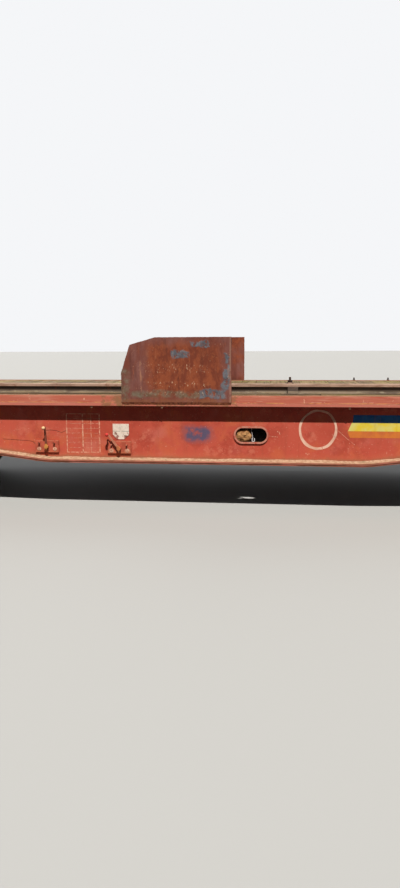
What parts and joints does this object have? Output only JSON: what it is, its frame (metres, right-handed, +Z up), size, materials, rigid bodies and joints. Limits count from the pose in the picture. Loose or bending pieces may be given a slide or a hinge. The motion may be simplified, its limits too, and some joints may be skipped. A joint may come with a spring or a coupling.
{
  "type": "flat wagon with container",
  "caption": "Bogie flat wagon with a fish-bellied red side sill, plank deck, edge beam and an open rusty steel container standing across the deck.",
  "frame": {"origin": "middle of the wagon in plan, at the lowest point of the wheel flanges", "axes": "+X along the wagon to the picture's right, +Y away from the picture's camera, +Z up"},
  "size_m": [14.0396, 2.826, 1.9128],
  "materials": {
    "red_paint": "faded red-brown paint, dusty and chipped",
    "frame_paint": "dirty red-brown paint",
    "planks": "grey weathered softwood",
    "rail_steel": "old rolled steel, dull rust",
    "container_steel": "rusted through paint, blue-grey remnants",
    "lever_paint": "red-brown paint with yellow and red knobs",
    "plate_paint": "white paint, chipped",
    "gear_paint": "black-brown paint with dust and rust",
    "castings": "cast steel, brown with brake dust",
    "bogie_paint": "brown-black paint under brake dust",
    "bare_steel": "greasy steel, rust at the rim",
    "wheel_steel": "brown wheels with a polished tread"
  },
  "bodies": {
    "wagon": {"side_sill_near": "red_paint", "side_sill_far": "red_paint", "web_window_near": "red_paint", "web_window_far": "red_paint", "center_sill": "frame_paint", "cross_bearers": "frame_paint", "floor_stringers": "frame_paint", "body_bolster_a": "frame_paint", "body_bolster_b": "frame_paint", "headstock_a": "red_paint", "headstock_b": "red_paint", "deck_planks": "planks", "deck_edge_beam": "rail_steel", "beam_clamps": "rail_steel", "container_side_near": "container_steel", "container_side_far": "container_steel", "container_body": "container_steel", "changeover_levers_near": "lever_paint", "changeover_levers_far": "lever_paint", "data_plates": "plate_paint", "lashing_lugs": "red_paint", "corner_steps": "gear_paint", "grab_handles": "gear_paint", "brake_cylinder": "gear_paint", "air_reservoir": "gear_paint", "distributor_valve": "castings", "brake_pipe": "gear_paint", "brake_rigging": "gear_paint", "buffer_cases_a": "gear_paint", "buffer_plungers_a": "bare_steel", "draw_hook_a": "castings", "screw_coupling_a": "castings", "buffer_cases_b": "gear_paint", "buffer_plungers_b": "bare_steel", "draw_hook_b": "castings", "screw_coupling_b": "castings"},
    "bogie_a": {"bogie_frame_a": "bogie_paint", "center_bowl_a": "castings", "side_bearers_a": "castings", "axleboxes_a": "castings", "springs_a": "bogie_paint", "bogie_brakes_a": "castings"},
    "wheelset_a1": {"wheelset_a1": "wheel_steel"},
    "wheelset_a2": {"wheelset_a2": "wheel_steel"},
    "bogie_b": {"bogie_frame_b": "bogie_paint", "center_bowl_b": "castings", "side_bearers_b": "castings", "axleboxes_b": "castings", "springs_b": "bogie_paint", "bogie_brakes_b": "castings"},
    "wheelset_b1": {"wheelset_b1": "wheel_steel"},
    "wheelset_b2": {"wheelset_b2": "wheel_steel"}
  },
  "joints": [
    {"name": "bogie_a_swivel", "type": "hinge", "parent": "wagon", "child": "bogie_a", "pos_m": [4.5, 0, 0.95], "axis": [0, 0, 1], "range_deg": [-6, 6]},
    {"name": "wheelset_a1_spin", "type": "hinge", "parent": "bogie_a", "child": "wheelset_a1", "pos_m": [5.4, 0, 0.49], "axis": [0, 1, 0], "continuous": true},
    {"name": "wheelset_a2_spin", "type": "hinge", "parent": "bogie_a", "child": "wheelset_a2", "pos_m": [3.6, 0, 0.49], "axis": [0, 1, 0], "continuous": true},
    {"name": "bogie_b_swivel", "type": "hinge", "parent": "wagon", "child": "bogie_b", "pos_m": [-4.5, 0, 0.95], "axis": [0, 0, 1], "range_deg": [-6, 6]},
    {"name": "wheelset_b1_spin", "type": "hinge", "parent": "bogie_b", "child": "wheelset_b1", "pos_m": [-3.6, 0, 0.49], "axis": [0, 1, 0], "continuous": true},
    {"name": "wheelset_b2_spin", "type": "hinge", "parent": "bogie_b", "child": "wheelset_b2", "pos_m": [-5.4, 0, 0.49], "axis": [0, 1, 0], "continuous": true}
  ]
}
